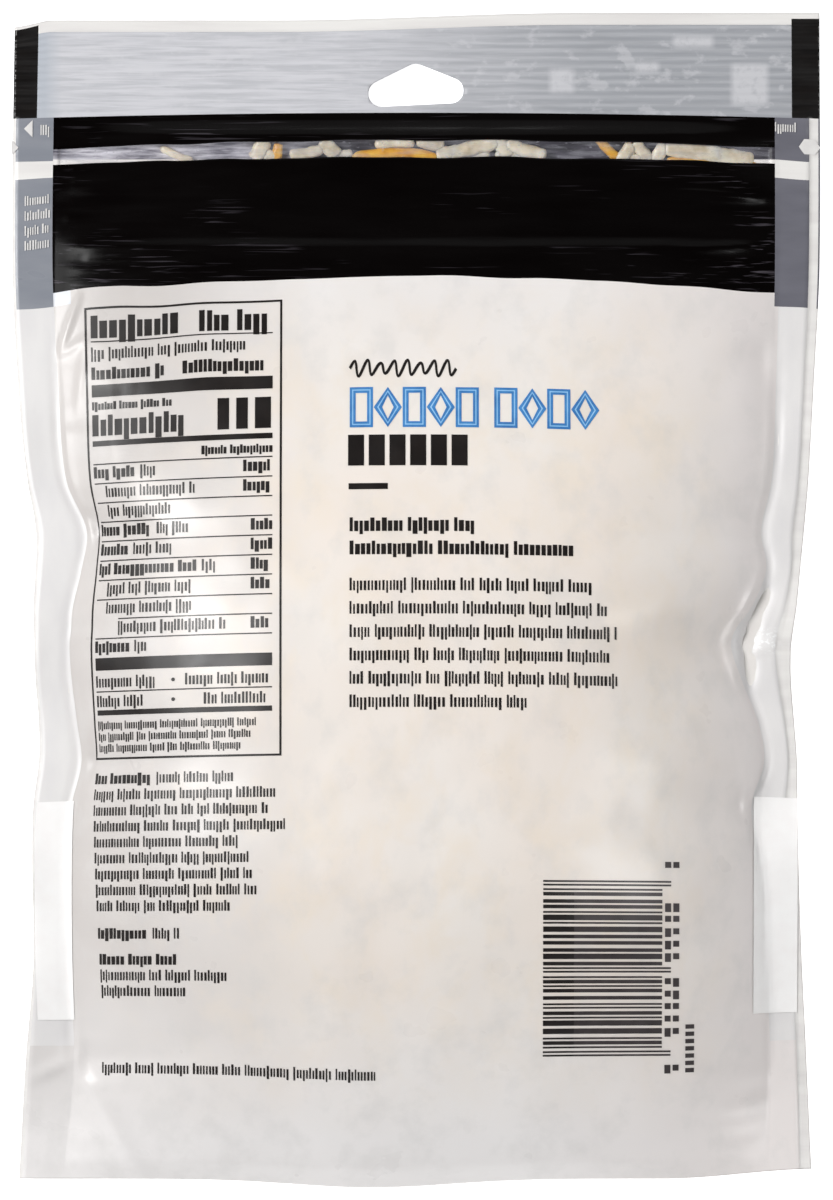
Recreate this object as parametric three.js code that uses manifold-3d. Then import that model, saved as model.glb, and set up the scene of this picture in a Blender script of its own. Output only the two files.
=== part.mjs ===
// A shut film pouch of grated cheese, lying on its front with its printed back up.
// Millimetres. X runs across the pouch, +Y towards its header and +Z up. "down" is the
// distance from the header's top edge, and the origin ends up under the middle.
import * as THREE from "three";
import { mergeVertices } from "three/addons/utils/BufferGeometryUtils.js";
import Module from "manifold-3d";

// ---- driving dimensions
const POUCH_WIDTH = 147; // over both side seals, laid flat
const POUCH_LENGTH = 212; // header to bottom fold, as the filled pouch lies
const POUCH_THICKNESS = 37; // fullest part
const HEADER_DEPTH = 18.7; // crimped seal across the top
const PLY = 0.35; // one ply of film, with its half of the seal
const FRONT_PLY_STEP = 2.2; // the front ply stands this much above the back ply

const FILL_FROM = 34; // the contents start here, below the zip
const FULLEST = 130; // and fill the pouch most here
const FLAT_TO = 176; // the front lies flat on the ground to here
const SEAM_HEIGHT = 15; // side seals above the ground where the pouch is full
const HEADER_HEIGHT = 1; // underside of the header above the ground
const BOTTOM_HEIGHT = 2.2; // bottom fold above the ground
const ZIP_THICKNESS = 2.6; // back film above the seal plane by the window
const TOP_RISE = 1.3; // how softly the back rises from the zip
const END_ROUNDNESS = 2.9; // how blunt the filled pouch's lower end is
const BACK_ROUNDNESS = 3; // how square the back's dome is
const ZIP_ROUNDNESS = 9; // and how square it is by the window
const FLAT_SHARE = 0.5; // share of the underside's half width that lies flat
const EDGE_DROP = 1; // the top edge drops this much to the left
const EDGE_RISE = 0.36; // and rises this much to the right
const EDGE_STEP = [-25, 30]; // it does so between these two places across
const EDGE_REACH = 17;
const FOLD_BOW = 1.6; // the fold's middle lies this much further down than its ends
const FOLD_BOW_AT = -8;
const FOLD_BOW_HALF_WIDTH = 20;
const FOLD_RISE = 1.8; // and its right end this much further up
const FOLD_RISE_FROM = 45;
const FOLD_REACH = 60;
const CORNER_FROM = 66; // the header's left corner slopes off from here
const CORNER_DROP = 1.3;

const WINDOW_TOP = 22.9; // clear strip between the two dark bands, at its middle
const WINDOW_BOTTOM = 26;
const WINDOW_ARCH = 1.3; // its ends lie this much further down
const WINDOW_HALF_WIDTH = 65.5;
const WINDOW_DEPTH = 2.4;
const WINDOW_FLOOR = 1; // film and cheese left under the strip where the pouch gets thin
const WINDOW_CLEARANCE = 0.3;
const BED_HALF_WIDTH = 62; // row of grated cheese under the strip

const HOLE_BASE = 14.1; // hang hole: its two lobes, down from the top edge
const HOLE_APEX = 11.3; // and its rounded peak
const HOLE_LOBE = 6.3; // lobes to each side of the middle
const HOLE_RADIUS = 2.35;
const HOLE_TILT = 0.3; // the right lobe sits this much higher than the middle
const HOLE_ARC_STEPS = 6;

const ZIP_RIDGES = [32.8, 42.5]; // the two zip tracks under the film
const ZIP_RIDGE_HEIGHT = 0.7;
const ZIP_RIDGE_WIDTH = 1.3;

const SHRED_WIDTH = 1.9; // grated cheese seen through the clear strip
const SHRED_HEIGHT = 1.5;
const SHRED_SPACING = 5.2;
const SHRED_LENGTHS = [9, 19];
const SHRED_BED = 0.7; // thickness of the bed that the shreds lie on

// down, how far the left and right edges draw in as the pouch fills, left and right seal width
const SIDE_STATIONS = [
  [0, 0.4, 0, 7.5, 7.5],
  [45, 0, 0, 7.4, 7.4],
  [70, 1.3, 1.3, 7.3, 6.8],
  [85, 2.9, 2.2, 7.1, 6.7],
  [94, 4.5, 3.0, 9.2, 7.8],
  [101, 4.4, 3.7, 8.4, 6.2],
  [108, 4.0, 4.4, 7.2, 6.1],
  [115, 4.2, 5.4, 6.4, 10.6],
  [121, 4.4, 5.4, 6.6, 8.7],
  [129, 5.0, 4.8, 7.0, 6.5],
  [136, 5.0, 4.3, 7.8, 6.0],
  [144, 4.0, 4.2, 7.0, 8.4],
  [155, 3.8, 4.0, 6.5, 7.0],
  [172, 4.0, 3.4, 6.4, 6.5],
  [190, 2.5, 2.5, 8.8, 6.6],
  [POUCH_LENGTH, 1.2, 1.5, 8, 8],
];
// dents that run in from the side seals: down, side, length, depth
const SIDE_DENTS = [
  [63, 1, 14, 0.9],
  [94, -1, 15, 1.5],
  [115, 1, 17, 1.9],
  [136, -1, 13, 1.0],
  [144, 1, 15, 1.2],
  [190, -1, 22, 1.5],
];
const DENT_HALF_WIDTH = 3.4;

const SEAL_COLUMNS = 3; // grid columns across each side seal
const BODY_COLUMNS = 26; // and across the filled part
const ROWS = 58;

const wasm = await Module();
wasm.setup();

const filmMaterial = new THREE.MeshStandardMaterial({
  color: 0xe4dfda,
  roughness: 0.35,
  metalness: 0,
});
const cheeseMaterial = new THREE.MeshStandardMaterial({
  color: 0xe6d3a2,
  roughness: 0.6,
  metalness: 0,
});

function smooth(from, to, value) {
  return THREE.MathUtils.smoothstep(value, from, to);
}

// Smooth curve through one column of the side stations.
function alongStations(down, column) {
  const last = SIDE_STATIONS.length - 1;
  let i = 0;
  while (i < last - 1 && SIDE_STATIONS[i + 1][0] < down) {
    i += 1;
  }
  const at = (k) => SIDE_STATIONS[THREE.MathUtils.clamp(k, 0, last)];
  const slope = (k) => (at(k + 1)[column] - at(k - 1)[column]) / (at(k + 1)[0] - at(k - 1)[0]);
  const [from, to] = [at(i), at(i + 1)];
  const span = to[0] - from[0];
  const t = THREE.MathUtils.clamp((down - from[0]) / span, 0, 1);
  const bend = slope(i) * (1 - t) - slope(i + 1) * t;
  const blend = t * t * (3 - 2 * t);
  return THREE.MathUtils.lerp(from[column], to[column], blend) + bend * span * t * (1 - t);
}

// Places across the pouch; side is -1 for the left, 1 for the right.
function edgeX(down, side) {
  return side * (POUCH_WIDTH / 2 - alongStations(down, side < 0 ? 1 : 2));
}

function sealWidth(down, side) {
  return alongStations(down, side < 0 ? 3 : 4);
}

// 0 at the seal's inner edge, 1 at its free edge and below 0 over the contents.
function acrossSeal(x, down) {
  const side = x < 0 ? -1 : 1;
  const width = sealWidth(down, side);
  return (x * side - (edgeX(down, side) * side - width)) / width;
}

// 0 along the middle line, 1 at the seals' inner edges and beyond.
function acrossBody(x, down) {
  const side = x < 0 ? -1 : 1;
  return Math.min(1, (x * side) / (edgeX(down, side) * side - sealWidth(down, side)));
}

// The top edge and the fold aren't quite square to the sides, and the fold bows out.
function planY(x, down) {
  const atEdge = 1 - smooth(0, EDGE_REACH, down);
  const edge = THREE.MathUtils.lerp(-EDGE_DROP, EDGE_RISE, smooth(...EDGE_STEP, x));
  const corner = CORNER_DROP * smooth(CORNER_FROM, POUCH_WIDTH / 2, -x) * (1 - smooth(0, 9, down));
  const atFold = smooth(POUCH_LENGTH - FOLD_REACH, POUCH_LENGTH, down);
  const bow = FOLD_BOW * Math.exp(-(((x - FOLD_BOW_AT) / FOLD_BOW_HALF_WIDTH) ** 2));
  const rise = FOLD_RISE * smooth(FOLD_RISE_FROM, POUCH_WIDTH / 2, x);
  return edge * atEdge - corner + (rise - bow) * atFold - down;
}

// Share of the full thickness: none above the zip, all at the fullest row, none at the fold.
function fullness(down) {
  if (down < FULLEST) {
    const rising = Math.max(0, (down - FILL_FROM) / (FULLEST - FILL_FROM));
    return Math.sin((Math.PI / 2) * rising ** TOP_RISE);
  }
  return 1 - ((down - FULLEST) / (POUCH_LENGTH - FULLEST)) ** END_ROUNDNESS;
}

// Height of the plane where the two plies meet.
function sealHeight(down) {
  const atHeader = HEADER_HEIGHT + PLY;
  const atFold = BOTTOM_HEIGHT + PLY;
  const full = THREE.MathUtils.lerp(SEAM_HEIGHT, atFold, smooth(FULLEST + 20, POUCH_LENGTH, down));
  return THREE.MathUtils.lerp(atHeader, full, smooth(FILL_FROM - 6, FULLEST - 20, down));
}

// 0 at the seals' inner edge, 1 along the pouch's middle line.
function domeBack(across, down) {
  const towardsFull = smooth(WINDOW_BOTTOM, FULLEST - 40, down);
  return 1 - across ** THREE.MathUtils.lerp(ZIP_ROUNDNESS, BACK_ROUNDNESS, towardsFull);
}

function domeFront(across) {
  const round = Math.max(0, (across - FLAT_SHARE) / (1 - FLAT_SHARE));
  return 1 - round * round;
}

function dentDepth(x, down) {
  let depth = 0;
  for (const [dentDown, side, length, deep] of SIDE_DENTS) {
    const inward = (edgeX(down, side) - x) * side - sealWidth(down, side);
    const along = THREE.MathUtils.clamp(1 - inward / length, 0, 1);
    const width = DENT_HALF_WIDTH * (0.45 + 0.55 * along);
    const fade = smooth(0, 3, inward);
    depth += deep * along * fade * Math.exp(-(((down - dentDown) / width) ** 2));
  }
  return depth;
}

function zipRidges(down) {
  let height = 0;
  for (const ridge of ZIP_RIDGES) {
    height += ZIP_RIDGE_HEIGHT * Math.exp(-(((down - ridge) / ZIP_RIDGE_WIDTH) ** 2));
  }
  return height;
}

// The film's back (upper) or front (lower) face over a place in plan.
function faceHeight(x, down, upper) {
  const across = acrossBody(x, down);
  const seal = sealHeight(down);
  if (!upper) {
    return THREE.MathUtils.lerp(seal - PLY, 0, domeFront(across) * frontContact(down));
  }
  const pastHeader = smooth(HEADER_DEPTH, WINDOW_TOP - 0.5, down);
  const beforeFold = 1 - smooth(POUCH_LENGTH - 4, POUCH_LENGTH + 1, down);
  const thin = ZIP_THICKNESS * pastHeader * beforeFold;
  const rise = POUCH_THICKNESS - SEAM_HEIGHT - PLY - ZIP_THICKNESS;
  const open = (thin + rise * fullness(down)) * domeBack(across, down);
  const ridges = zipRidges(down) * smooth(0, 0.15, 1 - across);
  const step = down < FRONT_PLY_STEP ? PLY : 0;
  return seal + PLY - step + open + ridges - dentDepth(x, down);
}

// The front lies flat on the ground from the zip to where it turns up to the bottom fold.
function frontContact(down) {
  return smooth(HEADER_DEPTH, FILL_FROM, down) * (1 - smooth(FLAT_TO, POUCH_LENGTH, down));
}

// Slow waves that run along the side seals, growing towards their free edge.
function sealWave(x, down) {
  const outward = THREE.MathUtils.clamp(acrossSeal(x, down), 0, 1);
  const full = smooth(50, 85, down) * (1 - smooth(188, 205, down));
  const phase = x < 0 ? 0.7 : 2.1;
  const wave = Math.sin(down / 5.9 + phase) + 0.5 * Math.sin(down / 3.1 + 2 * phase);
  return outward * outward * full * wave;
}

// Even grid indices turned into places: narrow columns on the seals, wider on the body.
function columnPlace(index, down) {
  const last = 2 * SEAL_COLUMNS + BODY_COLUMNS;
  const [left, right] = [edgeX(down, -1), edgeX(down, 1)];
  const [leftSeal, rightSeal] = [sealWidth(down, -1), sealWidth(down, 1)];
  if (index <= SEAL_COLUMNS) {
    return left + (leftSeal * index) / SEAL_COLUMNS;
  }
  if (index >= last - SEAL_COLUMNS) {
    return right - (rightSeal * (last - index)) / SEAL_COLUMNS;
  }
  const share = (index - SEAL_COLUMNS) / BODY_COLUMNS;
  return THREE.MathUtils.lerp(left + leftSeal, right - rightSeal, share);
}

function rowPlace(index) {
  const firstRows = [0, FRONT_PLY_STEP - 0.05, FRONT_PLY_STEP + 0.05, HEADER_DEPTH * 0.5];
  const top = firstRows.length;
  if (index < top) {
    return firstRows[index];
  }
  const lastRows = [POUCH_LENGTH - 2.4, POUCH_LENGTH - 1, POUCH_LENGTH - 0.25, POUCH_LENGTH];
  const end = ROWS - lastRows.length;
  if (index > end) {
    return lastRows[index - end - 1];
  }
  return THREE.MathUtils.lerp(HEADER_DEPTH, POUCH_LENGTH - 4.5, (index - top) / (end - top));
}

function toSolid(geometry) {
  geometry.deleteAttribute("normal");
  geometry.deleteAttribute("uv");
  const merged = mergeVertices(geometry, 1e-5);
  const numProp = 3;
  const vertProperties = new Float32Array(merged.attributes.position.array);
  const triVerts = new Uint32Array(merged.index.array);
  return new wasm.Manifold(new wasm.Mesh({ numProp, vertProperties, triVerts }));
}

function toGeometry(solid) {
  const mesh = solid.getMesh();
  const geometry = new THREE.BufferGeometry();
  const positions = new Float32Array(mesh.vertProperties);
  geometry.setAttribute("position", new THREE.BufferAttribute(positions, 3));
  geometry.setIndex(new THREE.BufferAttribute(new Uint32Array(mesh.triVerts), 1));
  geometry.computeVertexNormals();
  return geometry;
}

function pouchSolid() {
  const columns = 2 * SEAL_COLUMNS + BODY_COLUMNS;
  const geometry = new THREE.BoxGeometry(columns, ROWS, 2, columns, ROWS, 1);
  const position = geometry.attributes.position;
  for (let i = 0; i < position.count; i += 1) {
    const column = Math.round(position.getX(i) + columns / 2);
    const row = Math.round(ROWS / 2 - position.getY(i));
    const down = rowPlace(row);
    const x = columnPlace(column, down);
    const z = faceHeight(x, down, position.getZ(i) > 0) + sealWave(x, down);
    position.setXYZ(i, x, planY(x, down), z);
  }
  return toSolid(geometry);
}

// A hull of three equal discs: two lobes and a peak.
function hangHole() {
  const centres = [
    [-HOLE_LOBE, -HOLE_BASE - HOLE_TILT],
    [HOLE_LOBE, -HOLE_BASE + HOLE_TILT],
    [0, -HOLE_APEX],
  ];
  const outline = new THREE.Shape();
  centres.forEach(([x, y], i) => {
    const [beforeX, beforeY] = centres[(i + 2) % 3];
    const [afterX, afterY] = centres[(i + 1) % 3];
    const from = Math.atan2(y - beforeY, x - beforeX) - Math.PI / 2;
    const to = Math.atan2(afterY - y, afterX - x) - Math.PI / 2;
    outline.absarc(x, y, HOLE_RADIUS, from, to, false);
  });
  const options = { depth: 10, bevelEnabled: false, curveSegments: HOLE_ARC_STEPS };
  const geometry = new THREE.ExtrudeGeometry(outline, options);
  geometry.translate(0, 0, -3);
  return toSolid(geometry);
}

function windowArch(x) {
  return WINDOW_ARCH * (x / WINDOW_HALF_WIDTH) ** 2;
}

// Height of the recess's floor under the clear strip.
function recessFloor(x, down) {
  const deep = faceHeight(x, down, true) - WINDOW_DEPTH;
  return Math.max(deep, faceHeight(x, down, false) + WINDOW_FLOOR);
}

// A slab along the clear strip. Both heights are functions of a place in plan.
function stripSolid(halfWidth, inset, lowHeight, highHeight) {
  const columns = 24;
  const geometry = new THREE.BoxGeometry(2, 2, 2, columns, 2, 1);
  const position = geometry.attributes.position;
  for (let i = 0; i < position.count; i += 1) {
    const x = position.getX(i) * halfWidth;
    const share = (1 - position.getY(i)) / 2;
    const straight = THREE.MathUtils.lerp(WINDOW_TOP + inset, WINDOW_BOTTOM - inset, share);
    const down = straight + windowArch(x);
    const height = position.getZ(i) > 0 ? highHeight : lowHeight;
    position.setXYZ(i, x, planY(x, down), height(x, down));
  }
  return toSolid(geometry);
}

// Repeatable draws between two values.
let draw = 20;
function between(low, high) {
  draw = (draw * 16807) % 2147483647;
  return low + ((high - low) * draw) / 2147483647;
}

function shredSolid(x) {
  const length = between(...SHRED_LENGTHS);
  const width = SHRED_WIDTH * between(0.8, 1.1);
  const geometry = new THREE.BoxGeometry(length, width, SHRED_HEIGHT, 3, 1, 1);
  const bend = between(-0.012, 0.012);
  const twist = between(-0.04, 0.04);
  const position = geometry.attributes.position;
  for (let i = 0; i < position.count; i += 1) {
    const along = position.getX(i);
    const angle = twist * along;
    const y = position.getY(i);
    const z = position.getZ(i);
    position.setY(i, y * Math.cos(angle) - z * Math.sin(angle) + bend * along * along);
    position.setZ(i, y * Math.sin(angle) + z * Math.cos(angle));
  }
  geometry.rotateX(between(-0.5, 0.5));
  geometry.rotateZ(between(-0.3, 0.3));
  const down = between(WINDOW_TOP + 0.8, WINDOW_BOTTOM - 0.8) + windowArch(x);
  const low = recessFloor(x, down) + WINDOW_CLEARANCE + SHRED_BED;
  geometry.translate(x, planY(x, down), low + SHRED_HEIGHT * between(0.05, 0.4));
  return toSolid(geometry);
}

// The outer shell alone, without loose scraps or hollows that the joining closed in.
function largestShell(solid) {
  return solid.decompose().reduce((a, b) => (a.volume() > b.volume() ? a : b));
}

function shredsSolid() {
  const underside = (x, down) => recessFloor(x, down) + WINDOW_CLEARANCE;
  const bedTop = (x, down) => underside(x, down) + SHRED_BED;
  const filmInside = (x, down) => faceHeight(x, down, true) - WINDOW_CLEARANCE / 2;
  const room = stripSolid(BED_HALF_WIDTH, WINDOW_CLEARANCE, underside, filmInside);
  let shreds = stripSolid(BED_HALF_WIDTH, WINDOW_CLEARANCE, underside, bedTop);
  for (let x = 3 - BED_HALF_WIDTH; x < BED_HALF_WIDTH - 2; x += SHRED_SPACING) {
    shreds = shreds.add(shredSolid(x + between(-1, 1)));
  }
  return largestShell(shreds.intersect(room));
}

const aboveFilm = (x, down) => faceHeight(x, down, true) + 5;
const pouch = pouchSolid()
  .subtract(hangHole())
  .subtract(stripSolid(WINDOW_HALF_WIDTH, 0, recessFloor, aboveFilm));

const group = new THREE.Group();
const pieces = [
  ["pouch", pouch, filmMaterial],
  ["cheese_shreds", shredsSolid(), cheeseMaterial],
];
for (const [name, solid, material] of pieces) {
  const mesh = new THREE.Mesh(toGeometry(solid), material);
  mesh.name = name;
  group.add(mesh);
}

const bounds = new THREE.Box3().setFromObject(group);
const middle = bounds.getCenter(new THREE.Vector3());
group.position.set(-middle.x, -middle.y, -bounds.min.z);

export default group;
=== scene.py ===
"""A shut film pouch of grated cheese, lying on its front with its printed back up.

Lengths are millimetres, and MM turns them into the frame's metres. x runs across the pouch
from its middle line, and down is the distance from the header's top edge. The print is laid
out in x and row, where row is down along the middle line: towards the sides each row bends
further down, as the film is drawn round the contents.
"""

import math
import random
from functools import lru_cache

import bmesh
import bpy
from mathutils import Matrix, Vector, noise


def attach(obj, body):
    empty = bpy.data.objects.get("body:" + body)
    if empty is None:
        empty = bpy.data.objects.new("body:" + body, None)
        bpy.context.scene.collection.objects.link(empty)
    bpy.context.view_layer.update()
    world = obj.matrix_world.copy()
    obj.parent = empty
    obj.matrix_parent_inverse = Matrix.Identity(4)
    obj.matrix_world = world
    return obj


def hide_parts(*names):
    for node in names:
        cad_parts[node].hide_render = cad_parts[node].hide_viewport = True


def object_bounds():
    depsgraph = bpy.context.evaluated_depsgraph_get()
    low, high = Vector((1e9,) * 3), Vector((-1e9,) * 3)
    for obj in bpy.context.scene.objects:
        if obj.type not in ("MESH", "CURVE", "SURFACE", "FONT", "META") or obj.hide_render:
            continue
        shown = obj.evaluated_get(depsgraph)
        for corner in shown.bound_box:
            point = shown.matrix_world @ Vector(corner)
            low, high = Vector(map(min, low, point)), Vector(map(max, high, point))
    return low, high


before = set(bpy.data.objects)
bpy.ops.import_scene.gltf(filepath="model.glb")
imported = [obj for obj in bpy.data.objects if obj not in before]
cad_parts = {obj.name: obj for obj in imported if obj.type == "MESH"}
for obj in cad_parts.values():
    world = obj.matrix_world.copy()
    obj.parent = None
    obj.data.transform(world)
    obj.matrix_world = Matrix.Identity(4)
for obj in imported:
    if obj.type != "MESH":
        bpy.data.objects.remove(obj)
LOW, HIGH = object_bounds()
MM = 0.001

# ---- the pouch's own dimensions, as its solids have them
POUCH_WIDTH = 147.0
POUCH_LENGTH = 212.0
POUCH_THICKNESS = HIGH.z / MM
HEADER_DEPTH = 18.7
PLY, SIDE_STEP = 0.16, 0.07
FRONT_PLY_STEP = 2.2
FILL_FROM = 34.0
FULLEST = 130.0
FLAT_TO = 176.0
SEAM_HEIGHT = 15.0
HEADER_HEIGHT = 1.0
BOTTOM_HEIGHT = 2.2
ZIP_THICKNESS = 2.6
TOP_RISE = 1.3
END_ROUNDNESS = 2.9
BACK_ROUNDNESS = 3.0
ZIP_ROUNDNESS = 4.5
FLAT_SHARE = 0.5
EDGE_DROP, EDGE_RISE, EDGE_STEP, EDGE_REACH = 1.0, 0.36, (-25.0, 30.0), 17.0
FOLD_BOW, FOLD_BOW_AT, FOLD_BOW_HALF_WIDTH = 1.6, -8.0, 20.0
FOLD_RISE, FOLD_RISE_FROM, FOLD_REACH = 1.8, 45.0, 60.0
CORNER_FROM, CORNER_DROP = 66.0, 1.3
WINDOW_TOP, WINDOW_BOTTOM, WINDOW_DEPTH = 22.95, 25.95, 2.3
HOLE_BASE, HOLE_APEX, HOLE_LOBE, HOLE_RADIUS, HOLE_TILT = 14.1, 11.3, 6.3, 2.35, 0.3
ZIP_RIDGES, ZIP_RIDGE_HEIGHT, ZIP_RIDGE_WIDTH = (32.8, 42.5), 0.45, 1.3
# down, how far the left and right edges draw in, left and right seal width
SIDE_STATIONS = (
    (0, 0.4, 0, 7.5, 7.5),
    (45, 0, 0, 7.4, 7.4),
    (70, 1.3, 1.3, 7.3, 6.8),
    (85, 2.9, 2.2, 7.1, 6.7),
    (94, 4.5, 3.0, 9.2, 7.8),
    (101, 4.4, 3.7, 8.4, 6.2),
    (108, 4.0, 4.4, 7.2, 8.2),
    (112, 4.1, 5.0, 6.8, 10.5),
    (115, 4.2, 5.4, 6.4, 10.9),
    (121, 4.4, 5.4, 6.6, 9.0),
    (129, 5.0, 4.8, 7.0, 6.5),
    (136, 5.0, 4.3, 7.8, 6.0),
    (144, 4.0, 4.2, 7.0, 8.4),
    (155, 3.8, 4.0, 6.5, 7.0),
    (172, 4.0, 3.4, 6.4, 6.5),
    (190, 2.5, 2.5, 8.8, 6.6),
    (POUCH_LENGTH, 1.2, 1.5, 8, 8),
)
# dents that run in from the side seals: down, side, length, depth
SIDE_DENTS = (
    (63, 1, 14, 0.9),
    (94, -1, 15, 1.5),
    (136, -1, 13, 1.0),
    (144, 1, 12, 0.9),
    (190, -1, 22, 1.0),
)
DENT_HALF_WIDTH = 3.4

# ---- the film's fields of colour: rows, and shares of the half width between the seals
FRONT_EDGE_LEFT, FRONT_EDGE_RIGHT, SLIVER_RIGHT = -1.93, 1.74, 1.96
HEADER_END = 17.85
BAND_END = 47.9
MARGIN_END = 50.4
BAND_LEFT, BAND_RIGHT = -1.012, 0.989
BLOCK_LEFT, BLOCK_RIGHT = -1.42, 1.32
BLOCK_TOP_LEFT, BLOCK_TOP_RIGHT = 0.54, 1.08
CROSS_TOP, CROSS_BOTTOM = 25.2, 28.3
SHADED_LEFT = -0.955
SEAL_END = 187.6
WINDOW_LEFT, WINDOW_RIGHT = -0.985, 0.975
# how far each row's ends lie further down than its middle: row, millimetres at x = 65
ROW_ARCH = ((0, 0), (2.2, 0), (10, 0.5), (17.9, 0.85), (23, 1.35), (26, 1.2), (48, 2.7),
            (88, 2.2), (135, 1.45), (150, 0.9), (175, 0.3), (192, 0), (212, 0))
ARCH_AT = 65.0
ROW_RIPPLE = 0.5
PRINT_DRIFT, DRIFT_FROM, DRIFT_REACH = 0.45, -65.5, 5.0
PRINT_LEFT = -60.2
INK_LIFT, MARK_LIFT = 0.07, 0.16

CRIMP_PITCH = 1.42
# where the painted glints on the right seal lie, down from the header's top edge
PAINTED_GLINT_DOWN = 114.0

# ridges that the film is creased into: from x, down to x, down, height, half width
CREASES = (
    (-61.4, 51.4, -64.8, 61.5, 0.65, 0.6),
    (-64.6, 62.0, -60.0, 59.0, 0.4, 0.6),
    (-60.2, 60.0, -61.6, 72.0, 0.3, 0.7),
    (-55.5, 66.0, -54.8, 82.0, 0.16, 0.9),
    (-51.8, 63.0, -52.4, 70.5, 0.12, 0.8),
    (-63.5, 189.0, -50.0, 211.0, 1.0, 1.8),
    (-43.7, 196.0, -44.6, 203.0, 0.16, 1.3),
    (59.0, 112.4, 68.0, 114.8, 0.5, 0.8),
    (58.0, 117.0, 66.0, 114.4, 0.4, 0.7),
    (60.5, 140.5, 67.0, 143.0, 0.35, 0.8),
    (-50.0, 19.7, 55.0, 19.5, 0.1, 0.45),
    (46.5, 21.6, 51.0, 22.3, 0.25, 0.5),
    (44.5, 31.9, 63.0, 33.6, 0.3, 0.5),
    (40.0, 34.2, 60.0, 35.4, 0.22, 0.5),
    (47.0, 42.9, 63.5, 41.9, 0.25, 0.5),
    (-62.0, 30.6, -47.0, 29.6, 0.18, 0.7),
    (-63.5, 37.2, -30.0, 35.4, 0.16, 0.5),
    (-60.0, 44.4, -44.0, 43.6, 0.25, 0.4),
    (62.6, 103.0, 59.2, 110.0, 1.1, 1.7),
    (59.2, 110.0, 57.0, 114.2, 1.6, 1.8),
    (57.0, 114.2, 59.0, 121.5, 1.5, 1.7),
    (64.0, 104.5, 61.4, 110.0, -1.1, 1.0),
    (61.4, 110.0, 59.9, 114.5, -1.8, 1.1),
    (59.9, 114.5, 60.8, 121.5, -1.6, 1.0),
    (60.0, 136.5, 60.4, 145.0, 0.9, 1.8),
    (-62.0, 190.0, -71.0, 194.0, 0.5, 1.1),
)


def lerp(start, end, share):
    return start + (end - start) * share


def clamp(value):
    return min(1.0, max(0.0, value))


def smooth(low, high, value):
    t = clamp((value - low) / (high - low))
    return t * t * (3 - 2 * t)


def bell(distance, half_width):
    return math.exp(-((distance / half_width) ** 2))


# ---- the film's form
def along_stations(down, column):
    """Smooth curve through one column of the side stations."""
    last = len(SIDE_STATIONS) - 1
    i = 0
    while i < last - 1 and SIDE_STATIONS[i + 1][0] < down:
        i += 1

    def at(k):
        return SIDE_STATIONS[min(max(k, 0), last)]

    def slope(k):
        return (at(k + 1)[column] - at(k - 1)[column]) / (at(k + 1)[0] - at(k - 1)[0])

    start, end = at(i), at(i + 1)
    span = end[0] - start[0]
    t = clamp((down - start[0]) / span)
    bend = slope(i) * (1 - t) - slope(i + 1) * t
    return lerp(start[column], end[column], t * t * (3 - 2 * t)) + bend * span * t * (1 - t)


@lru_cache(maxsize=None)
def sides_at(down):
    left = -POUCH_WIDTH / 2 + along_stations(down, 1)
    right = POUCH_WIDTH / 2 - along_stations(down, 2)
    return left, left + along_stations(down, 3), right - along_stations(down, 4), right


def sides(down):
    """Left edge, left crease, right crease and right edge, where a crease is a seal's inner edge."""
    return sides_at(round(down, 2))


def film_plan(x, down):
    """The place in plan: the top edge and the fold aren't quite square to the sides."""
    edge = lerp(-EDGE_DROP, EDGE_RISE, smooth(*EDGE_STEP, x)) * (1 - smooth(0, EDGE_REACH, down))
    corner = CORNER_DROP * smooth(CORNER_FROM, POUCH_WIDTH / 2, -x) * (1 - smooth(0, 9, down))
    at_fold = smooth(POUCH_LENGTH - FOLD_REACH, POUCH_LENGTH, down)
    bow = FOLD_BOW * bell(x - FOLD_BOW_AT, FOLD_BOW_HALF_WIDTH)
    rise = FOLD_RISE * smooth(FOLD_RISE_FROM, POUCH_WIDTH / 2, x)
    return edge - corner + (rise - bow) * at_fold - down


def fullness(down):
    if down < FULLEST:
        rising = max(0.0, (down - FILL_FROM) / (FULLEST - FILL_FROM))
        return math.sin(math.pi / 2 * rising ** TOP_RISE)
    return 1 - min(1.0, (down - FULLEST) / (POUCH_LENGTH - FULLEST)) ** END_ROUNDNESS


def seal_height(down):
    at_fold = smooth(FULLEST + 20, POUCH_LENGTH, down)
    full = lerp(SEAM_HEIGHT, BOTTOM_HEIGHT + PLY, at_fold)
    return lerp(HEADER_HEIGHT + PLY, full, smooth(FILL_FROM - 6, FULLEST - 20, down))


def dent_depth(x, down):
    left, left_crease, right_crease, right = sides(down)
    depth = 0.0
    for dent_down, side, length, deep in SIDE_DENTS:
        if abs(down - dent_down) > 9:
            continue
        inward = x - left_crease if side < 0 else right_crease - x
        along = clamp(1 - inward / length)
        width = DENT_HALF_WIDTH * (0.45 + 0.55 * along)
        depth += deep * along * smooth(0, 3, inward) * bell(down - dent_down, width)
    return depth


def seal_wave(x, down):
    """Slow waves along the side seals, growing towards their free edge."""
    left, left_crease, right_crease, right = sides(down)
    if left_crease <= x <= right_crease:
        return 0.0
    outward = (left_crease - x) / (left_crease - left) if x < 0 else (x - right_crease) / (right - right_crease)
    full = smooth(50, 85, down) * (1 - smooth(188, 205, down))
    phase = 0.7 if x < 0 else 2.1
    wave = math.sin(down / 5.9 + phase) + 0.5 * math.sin(down / 3.1 + 2 * phase)
    return 0.4 * clamp(outward) ** 2 * full * wave


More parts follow.
